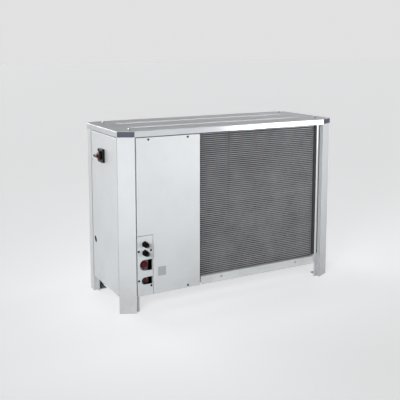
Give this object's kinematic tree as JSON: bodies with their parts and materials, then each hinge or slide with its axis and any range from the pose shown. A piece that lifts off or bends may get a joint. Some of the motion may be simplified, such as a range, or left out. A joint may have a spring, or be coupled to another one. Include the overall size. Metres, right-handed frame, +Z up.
{
  "type": "refrigeration condensing unit",
  "caption": "Air-cooled refrigeration condensing unit in a pale sheet-steel housing on corner-post legs, with a front coil, rear axial fan, rotary isolator and piped service side.",
  "frame": {"origin": "centre of the rectangle of the four foot fixing holes, on the floor", "axes": "+X along the long side to the right seen from the coil side, +Y towards the rear fan side, +Z up"},
  "size_m": [1.241, 0.5048, 0.856],
  "materials": {
    "casing_paint": "semi-gloss powder coat, pale grey",
    "cover_paint": "semi-gloss powder coat, pale grey",
    "cap_plastic": "moulded grey-blue plastic",
    "black_plastic": "moulded black plastic",
    "red_plastic": "moulded dark red plastic",
    "galvanised": "zinc-coated sheet",
    "zinc": "zinc-plated steel",
    "coil_aluminium": "dull mill aluminium",
    "black_paint": "satin black paint",
    "fan_plastic": "glass-filled black plastic",
    "copper": "drawn copper",
    "brass": "turned brass",
    "rubber": "black rubber",
    "foam": "dark closed-cell foam",
    "control_plastic": "moulded grey plastic"
  },
  "bodies": {
    "cabinet": {"base_pan": "galvanised", "bulkhead": "galvanised", "cable_glands": "black_plastic", "casing_screws": "zinc", "coil_seals": "foam", "compressor": "black_paint", "compressor_bolts": "zinc", "compressor_grommets": "rubber", "condenser_coil": "coil_aluminium", "condenser_fins": "coil_aluminium", "condenser_outlet_pipe": "copper", "connection_plate": "casing_paint", "contactor": "control_plastic", "corner_caps": "cap_plastic", "cover_bolts": "zinc", "discharge_pipe": "copper", "electrical_box": "galvanised", "electrical_lid": "galvanised", "fan_bellmouth": "casing_paint", "fan_guard": "black_paint", "fan_motor": "black_paint", "fan_panel": "casing_paint", "fan_support": "galvanised", "filter_drier": "copper", "foot_plates": "galvanised", "front_rail": "casing_paint", "gland_locknuts": "black_plastic", "high_pressure_switch": "control_plastic", "isolator_body": "black_plastic", "isolator_plate": "black_plastic", "left_side_panel": "casing_paint", "liquid_pipes": "copper", "liquid_receiver": "black_paint", "liquid_valve": "brass", "low_pressure_switch": "control_plastic", "panel_screws": "black_plastic", "pipe_caps": "red_plastic", "post_front_left": "casing_paint", "post_front_right": "casing_paint", "post_rear_left": "casing_paint", "post_rear_right": "casing_paint", "rear_service_panel": "casing_paint", "right_side_panel": "casing_paint", "run_capacitor": "control_plastic", "service_panel": "casing_paint", "sight_glass": "brass", "suction_pipe": "copper", "suction_valve": "brass", "terminal_block": "control_plastic", "terminal_box": "black_plastic", "top_cover": "cover_paint", "top_gussets": "galvanised", "valve_bracket": "galvanised"},
    "fan": {"fan_impeller": "fan_plastic", "fan_shaft": "zinc"},
    "isolator": {"isolator_knob": "red_plastic", "isolator_shaft": "zinc"},
    "reset": {"reset_button": "red_plastic"},
    "armature": {"contactor_armature": "control_plastic"}
  },
  "joints": [
    {"name": "fan_spin", "type": "hinge", "parent": "cabinet", "child": "fan", "pos_m": [0.146, 0.19, 0.47], "axis": [0, 1, 0], "continuous": true},
    {"name": "isolator_turn", "type": "hinge", "parent": "cabinet", "child": "isolator", "pos_m": [-0.612, -0.006, 0.716], "axis": [1, 0, 0], "range_deg": [0, 90]},
    {"name": "reset_press", "type": "slide", "parent": "cabinet", "child": "reset", "axis": [1, 0, 0], "range_m": [0, 0.002], "stiffness_N_per_m": 300},
    {"name": "armature_pull", "type": "slide", "parent": "cabinet", "child": "armature", "axis": [0, 1, 0], "range_m": [0, 0.004], "stiffness_N_per_m": 300}
  ]
}
